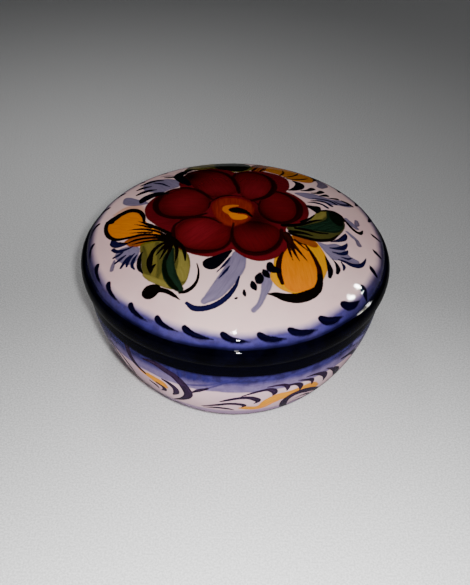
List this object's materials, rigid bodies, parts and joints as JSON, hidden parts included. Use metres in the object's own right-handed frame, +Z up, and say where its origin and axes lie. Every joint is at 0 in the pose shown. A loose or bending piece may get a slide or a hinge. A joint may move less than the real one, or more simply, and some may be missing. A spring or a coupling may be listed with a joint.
{
  "type": "lidded ceramic box",
  "caption": "Round lidded box of painted, glazed earthenware: a footed bowl with a flat rim and a low domed lid that lifts off.",
  "frame": {"origin": "middle of the resting face of the foot ring", "axes": "+Z up along the axis of the box and its lid, +Y away from the picture's camera"},
  "size_m": [0.115, 0.115, 0.0689],
  "materials": {
    "base_glaze": "glossy, painted under the glaze",
    "lid_glaze": "glossy, painted under the glaze"
  },
  "bodies": {
    "base": {"base": "base_glaze"},
    "lid": {"lid": "lid_glaze"}
  },
  "joints": [
    {"name": "lid_lift", "type": "slide", "parent": "base", "child": "lid", "axis": [0, 0, 1], "range_m": [0, 0.06]}
  ]
}
